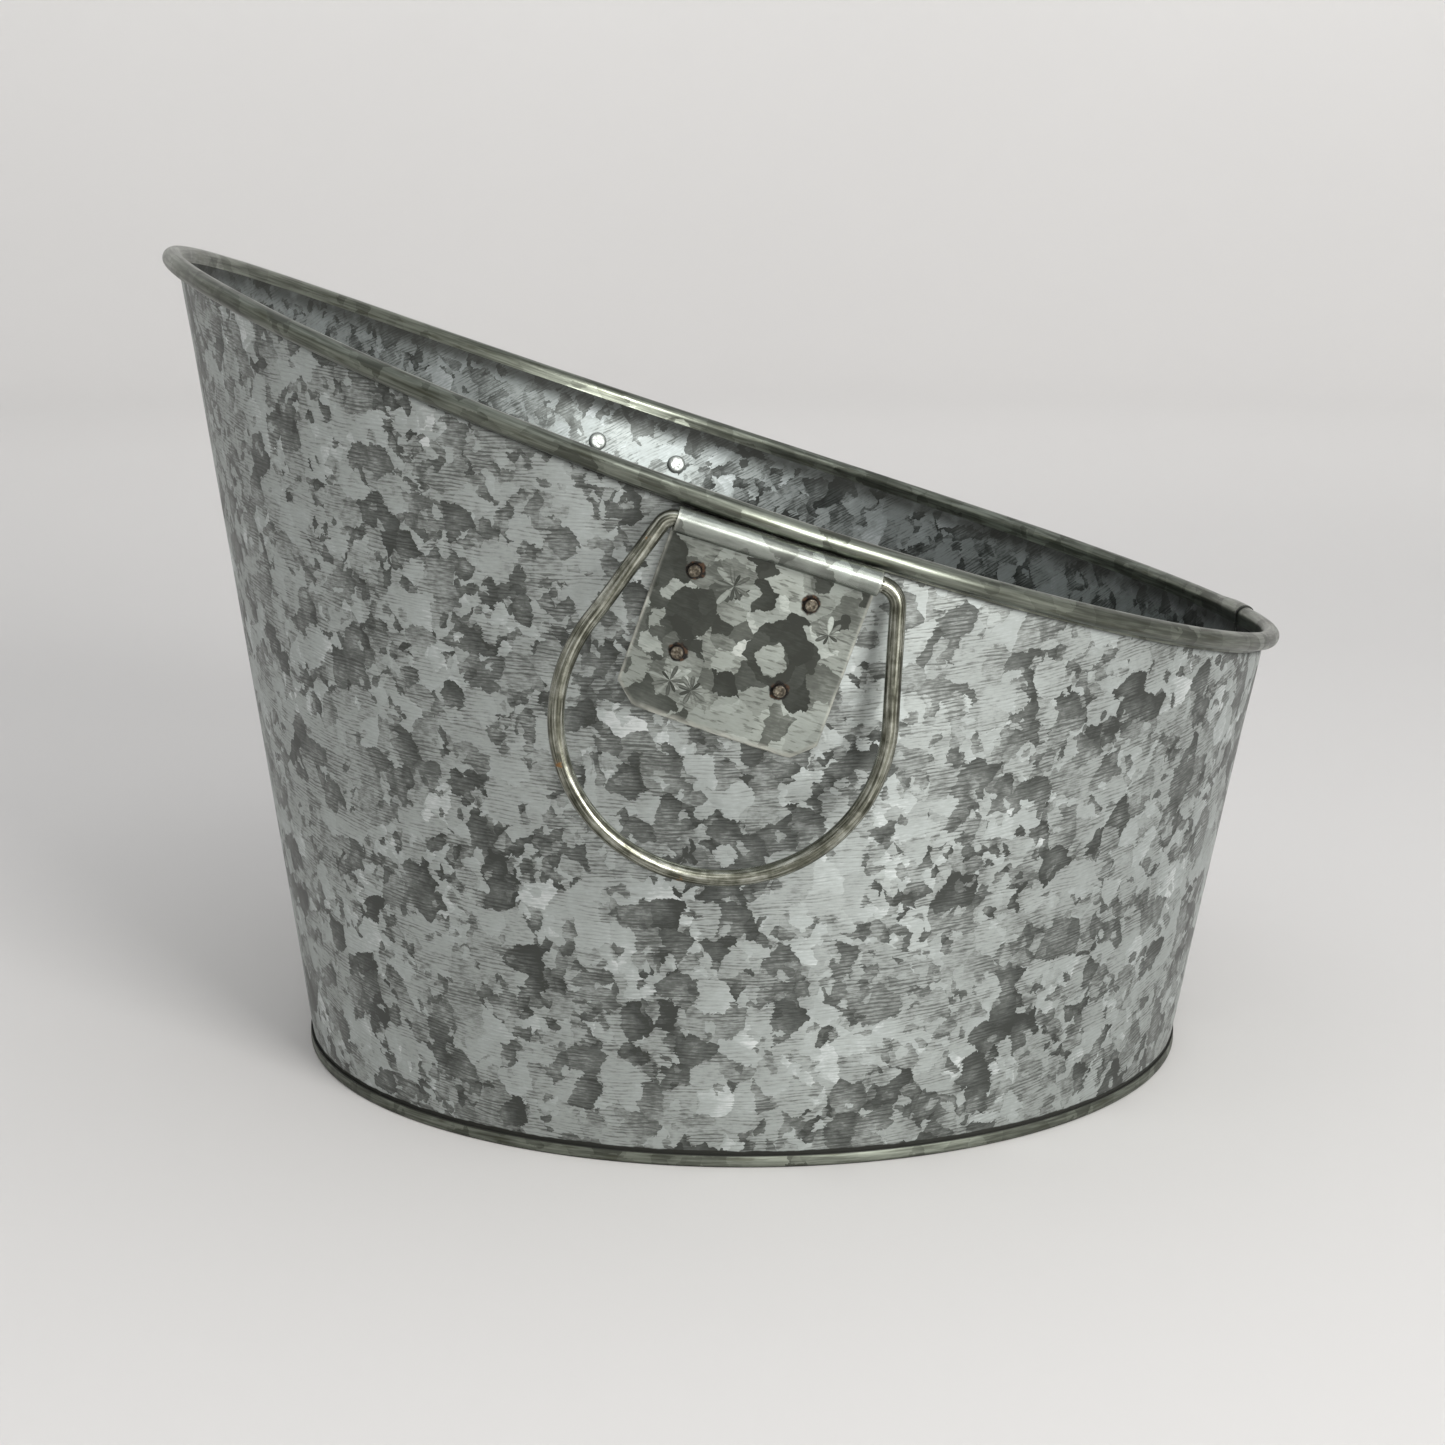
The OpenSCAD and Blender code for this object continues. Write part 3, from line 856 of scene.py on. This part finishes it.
def bead_zinc(name):
    """The curled rim and the floor's hem: the same zinc, drawn out and dulled by handling."""
    look = Look(name)
    sheet = look.flat()
    at = ragged(look, sheet, 0.009, 0.004, 0.0016, 0.0014)
    bright, tilt = spangle(look, sheet, at, 0.0095, 0.2)
    scuff = look.streaks(sheet, 0.014, 0.0008, 3)
    shade = look.add(look.times(bright, 0.22), look.times(scuff, 0.50), 0.06)
    colour = look.mix(1.0, look.shades(shade, ZINC_SHADES), srgb(196, 197, 185), "MULTIPLY")
    stain = look.band(look.streaks(sheet, 0.012, 0.0016, 3), 0.58, 0.72, 0, 0.45)
    colour = look.mix(stain, colour, srgb(64, 64, 50))
    # Painted shade: the hem's upper and lower edges are painted black, where it meets the wall and the ground
    z = look.parts(look.place())[2]
    low, high = look.band(z, 0.0002, 0.0006, 1, 0), look.band(z, HEM_H - 0.0005, HEM_H - 0.0001)
    hem_edge_shade = look.times(look.maths("MAXIMUM", low, high), look.maths("LESS_THAN", z, 2 * HEM_H))
    colour = look.mix(hem_edge_shade, colour, SHADE_BLACK)
    height = look.add(look.times(scuff, 0.5), look.times(look.noise(sheet, 0.001, 3), 0.5))
    normal = look.bump(height, 0.000014, 1.0, look.tilted(tilt, 0.08))
    rim = look.band(z, 2 * HEM_H, 3 * HEM_H)
    roughness = look.choose(rim, 0.52, look.band(shade, 0.2, 0.7, 0.36, 0.27, False))
    roughness = look.choose(hem_edge_shade, roughness, 0.8)
    return look.finish(colour, roughness, look.choose(hem_edge_shade, 0.95, 0.3), normal)


def star(look, local, middle, reach, leaves, key):
    """One crystal of pointed leaves round its middle: where it is, and each leaf's random values."""
    arm = look.vector("SUBTRACT", local, (*middle, 0))
    ax, ay, _ = look.parts(arm)
    turns = look.add(look.times(look.maths("ARCTAN2", ay, ax), leaves / (2 * math.pi)), leaves + key)
    leaf = look.maths("FLOOR", turns)
    off_axis = look.times(look.maths("ABSOLUTE", look.add(turns, look.times(leaf, -1.0), -0.5)), 2.0)
    random = look.node("TexWhiteNoise", {"W": leaf}, noise_dimensions="1D").outputs
    tip = look.times(look.add(look.times(random["Value"], 0.6), 0.5), reach)
    far = look.maths("DIVIDE", look.vector("LENGTH", arm), tip)
    covered = look.maths("LESS_THAN", look.add(far, look.times(off_axis, off_axis, 0.8)), 1.0)
    value = look.add(look.times(random["Value"], 0.75), look.times(off_axis, -0.22), 0.06)
    return covered, value, random["Color"]


def within(look, local, middle, radius):
    apart = look.vector("DISTANCE", local, (*middle, 0))
    return look.maths("LESS_THAN", apart, radius)


def bracket_zinc(name, shift):
    """Coarse spangle with round dark patches, star-shaped crystals and creases, and a polished tube."""
    look = Look(name)
    own = look.flat()
    local = look.vector("SUBTRACT", own, (PLATE_ORIGIN, 0, 0))
    offset = (shift, shift * 0.6, 0)
    sheet = look.vector("ADD", local, offset)
    at = ragged(look, sheet, 0.010, 0.0055, 0.0022, 0.0014)
    large = crystals(look, at, 0.0100, 0.0)
    small = crystals(look, at, 0.0048, 0.3)
    value = look.choose(
        look.maths("GREATER_THAN", large["random"][0], 0.34),
        look.add(look.times(large["random"][2], 0.22), look.times(large["middle"], 0.3), 0.06),
        look.add(look.times(large["random"][1], 0.40), 0.33),
    )
    value = look.choose(look.maths("GREATER_THAN", small["random"][1], 0.62), value, small["random"][0])
    bent = look.vector("SUBTRACT", at, offset)
    for x, y, radius in BLOTCHES:
        value = look.choose(within(look, bent, (x, y), radius), value, look.times(large["random"][1], 0.16))
    value = look.choose(within(look, bent, BLOTCH_CORE[:2], BLOTCH_CORE[2]), value, 0.66)
    face = large["colour"]
    for number, (x, y, reach, leaves) in enumerate(STARS):
        covered, leaf_value, leaf_face = star(look, local, (x, y), reach, leaves, 20 * number + 3)
        value = look.choose(covered, value, leaf_value)
        face = look.mix(covered, face, leaf_face)

    creases = look.streaks(sheet, 0.0045, 0.00085, 3)
    crease = look.times(look.band(creases, 0.54, 0.66), look.band(value, 0.3, 0.7))
    cloud = look.add(look.noise(sheet, 0.009, 4, 0.65), -0.5)
    rub = look.add(look.streaks(sheet, 0.0030, 0.0006, 3), -0.5)
    bright = look.add(value, look.times(large["slope"], 0.2), look.times(cloud, 0.34))
    bright = look.add(bright, look.times(crease, -0.22), look.times(rub, 0.26))

    _, y, _ = look.parts(local)
    tube = look.band(y, 0.0008, 0.0022)
    polish = look.add(look.times(bright, 0.40), 0.28, look.times(look.streaks(sheet, 0.016, 0.0012), 0.12))
    bright = look.choose(tube, bright, polish)
    colour = look.mix(0.8, look.shades(bright, ZINC_SHADES), srgb(224, 225, 217), "MULTIPLY")

    # Rust round each rivet, and painted shade: a near-black ring for the shadow in the gap between the pin
    # and the plate
    wander = look.scaled(look.centred(look.noise(sheet, 0.002, 2, 0.5, "Color")), 0.0014)
    wandering = look.vector("ADD", local, look.vector("MULTIPLY", wander, (1, 1, 0)))
    near = []
    for x, drop in RIVETS:
        apart = look.vector("DISTANCE", wandering, (x, TUBE_R - drop, 0))
        near.append(look.band(apart, 0.0024, 0.0030, 1, 0))
    ring = look.maths("MAXIMUM", look.maths("MAXIMUM", *near[:2]), look.maths("MAXIMUM", *near[2:]))
    rust = look.band(look.noise(local, 0.0016, 3), 0.45, 0.6)
    colour = look.mix(ring, colour, look.mix(rust, srgb(22, 20, 16), srgb(70, 50, 34)))
    edge = look.times(look.stored("edge"), look.band(look.noise(sheet, 0.006, 2), 0.35, 0.6, 0.3, 0.8))
    colour = look.mix(edge, colour, srgb(196, 197, 187))
    roughness = look.choose(tube, look.band(bright, 0.1, 0.9, 0.36, 0.46, False), 0.27)
    roughness = look.choose(ring, roughness, 0.8)
    height = look.add(look.times(crease, -0.8), look.times(rub, 0.6))
    tilted = look.tilted(look.centred(face), look.times(look.less(tube), 0.16))
    normal = look.bump(height, 0.000016, 1.0, tilted)
    return look.finish(colour, roughness, look.choose(ring, 0.9, 0.35), normal)


def handle_zinc(name):
    look = Look(name)
    sheet = look.flat()
    drawn = look.streaks(sheet, 0.018, 0.0006, 3)
    mottle = look.noise(sheet, 0.005, 4, 0.6)
    value = look.add(look.times(drawn, 0.75), look.times(mottle, 0.55), -0.15)
    shades = [
        (0.32, srgb(58, 58, 49)),
        (0.46, srgb(96, 97, 86)),
        (0.58, srgb(136, 137, 126)),
        (0.75, srgb(182, 184, 175)),
    ]
    colour = look.shades(value, shades)
    rust = look.band(look.noise(look.place(), 0.007, 3, 0.62, dimensions="3D"), 0.68, 0.73)
    colour = look.mix(rust, colour, srgb(112, 82, 46))
    roughness = look.choose(rust, look.band(value, 0.3, 0.7, 0.34, 0.23, False), 0.75)
    height = look.add(look.times(drawn, 0.5), look.times(look.noise(sheet, 0.0007, 2), 0.5))
    return look.finish(colour, roughness, look.choose(rust, 0.92, 0.25), look.bump(height, 0.00004, 0.8))


def rivet_steel(name):
    """Brown pins outside, and heads that took the zinc's grey inside."""
    look = Look(name)
    at = look.place()
    stain = look.noise(at, 0.0009, 3, 0.6, dimensions="3D")
    browns = [(0.34, srgb(40, 36, 29)), (0.48, srgb(84, 77, 65)), (0.62, srgb(136, 130, 117))]
    brown = look.shades(stain, browns)
    grey = look.shades(stain, [(0.34, srgb(126, 130, 126)), (0.62, srgb(164, 169, 165))])
    along, out, _ = look.parts(look.flat())
    head = look.band(along, -0.0008, -0.0002, 1, 0)
    # Painted shade: the stub's rim and flank are painted near-black, for the shadow round the pin
    rim = look.band(out, 0.00145, 0.00180)
    colour = look.mix(head, look.mix(rim, brown, srgb(34, 30, 26)), grey)
    roughness = look.band(stain, 0.35, 0.65, 0.55, 0.36, False)
    metallic = look.band(stain, 0.38, 0.6, 0.5, 0.92, False)
    height = look.noise(at, 0.0005, 2, dimensions="3D")
    return look.finish(colour, roughness, metallic, look.bump(height, 0.00005))


def plain_wire(name):
    look = Look(name)
    value = look.noise(look.place(), 0.003, 3, dimensions="3D")
    colour = look.shades(value, [(0.3, srgb(96, 94, 90)), (0.7, srgb(140, 139, 134))])
    return look.finish(colour, 0.45, 0.9)


def backdrop_paint(name):
    """Pale paint, a little lighter up the wall than on the floor: painted light, which makes up for the lamps
    lighting the far wall less than the floor.
    """
    look = Look(name)
    at = look.place()
    rise = look.band(look.parts(at)[2], 0.0, 1.4)
    colour = look.shades(rise, [(0.0, srgb(209, 207, 205)), (1.0, srgb(240, 239, 237))])
    blotch = look.noise(at, 0.4, 1, dimensions="3D")
    colour = look.mix(look.times(blotch, 0.1), colour, srgb(190, 188, 186))
    return look.finish(colour, 0.9, 0.0)


# ---------------------------------------------------------------- putting it together


def dress(piece, materials, body, node):
    for material in materials:
        piece.data.materials.append(material)
    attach(piece, body)
    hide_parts(node)
    return piece


def build_bucket():
    wall = wall_zinc("zinc_wall")
    bead = bead_zinc("zinc_bead")
    wire = handle_zinc("zinc_handle")
    rivet = rivet_steel("steel_rivet")
    dress(build_wall(), [wall, bead], "bucket", "wall")
    dress(build_floor(), [wall, bead], "bucket", "floor_pan")
    for side, mirrored, seed in (("near", False, 31), ("far", True, 47)):
        plate = bracket_zinc(f"zinc_bracket_{side}", seed * 0.013)
        dress(build_bracket(side, mirrored, seed), [plate], "bucket", f"bracket_{side}")
        dress(build_handle(side, mirrored, seed), [wire], f"{side}_handle", f"handle_{side}")
        for number in range(4):
            rivet_piece = build_rivet(side, number, mirrored, seed * 10 + number)
            dress(rivet_piece, [rivet], "bucket", f"rivet_{side}_{number + 1}")
    rim_wire = frame["nodes"]["rim_wire"]
    rim_wire.data.materials.clear()
    rim_wire.data.materials.append(plain_wire("steel_rim_wire"))


def build_studio():
    """A pale floor that sweeps up all round, far enough away for every view."""
    flat_r, wall_top, curve = 2.4, 3.0, 1.0
    profile = [(0, 0), (flat_r, 0)]
    profile += [(flat_r + curve * sin(a), curve * (1 - cos(a))) for a in range(6, 91, 6)]
    profile.append((flat_r + curve, wall_top))
    sides = 96
    phi = np.arange(sides)[:, None] * 360 / sides
    r = np.array([p[0] for p in profile])[None, :]
    z = np.array([p[1] for p in profile])[None, :] + 0 * phi
    points = np.stack([r * cos(phi), r * sin(phi), z], axis=-1)
    flat = np.zeros((sides + 1, len(profile), 2))
    sweep = grid_piece("studio_sweep", points, flat, wrap_rows=True)
    sweep.data.materials.append(backdrop_paint("sweep_paint"))


def area_light(name, azimuth, elevation, distance, size, power, target):
    """A soft light that faces target. It stands at an azimuth from straight in front towards +X, and at
    an elevation, both in degrees and seen from the bucket."""
    data = bpy.data.lights.new(name, "AREA")
    data.shape = "RECTANGLE"
    data.size, data.size_y = size
    data.energy = power
    data.color = (1.0, 0.99, 0.975)
    light = bpy.data.objects.new(name, data)
    bpy.context.scene.collection.objects.link(light)
    turn, rise = math.radians(azimuth), math.radians(elevation)
    away = distance * math.cos(rise)
    light.location = (away * math.sin(turn), -away * math.cos(turn), distance * math.sin(rise))
    light.rotation_euler = (light.location - target).to_track_quat("Z", "Y").to_euler()
    light.visible_camera = False


def build_lights():
    """A window in front to the right, a weaker light above it, and one for the backdrop alone."""
    bucket = Vector((0, 0, 0.12))
    area_light("window", 24, 17, 2.3, (0.75, 0.8), 53, bucket)
    area_light("ceiling", 12, 50, 2.2, (1.3, 0.9), 8, bucket)
    area_light("backdrop", 150, 42, 2.2, (2.4, 0.6), 9, Vector((0.9, 3.3, 0.5)))
    world = bpy.data.worlds.new("studio")
    bpy.context.scene.world = world
    world.use_nodes = True
    sky = world.node_tree.nodes["Background"]
    sky.inputs["Color"].default_value = (0.95, 0.97, 1.0, 1)
    sky.inputs["Strength"].default_value = 0.83


def build_camera():
    yaw, pitch = 0.12205, 0.20077
    data = bpy.data.cameras.new("camera")
    data.lens, data.sensor_width = 70.04, 36
    data.clip_start, data.clip_end = 0.05, 20
    camera = bpy.data.objects.new("camera", data)
    bpy.context.scene.collection.objects.link(camera)
    camera.location = (-0.110877, -0.886987, 0.281759)
    camera.rotation_euler = (math.pi / 2 - pitch, 0, -yaw)
    bpy.context.scene.camera = camera


bpy.context.scene.view_settings.view_transform = "Standard"
build_camera()
build_studio()
build_lights()
build_bucket()
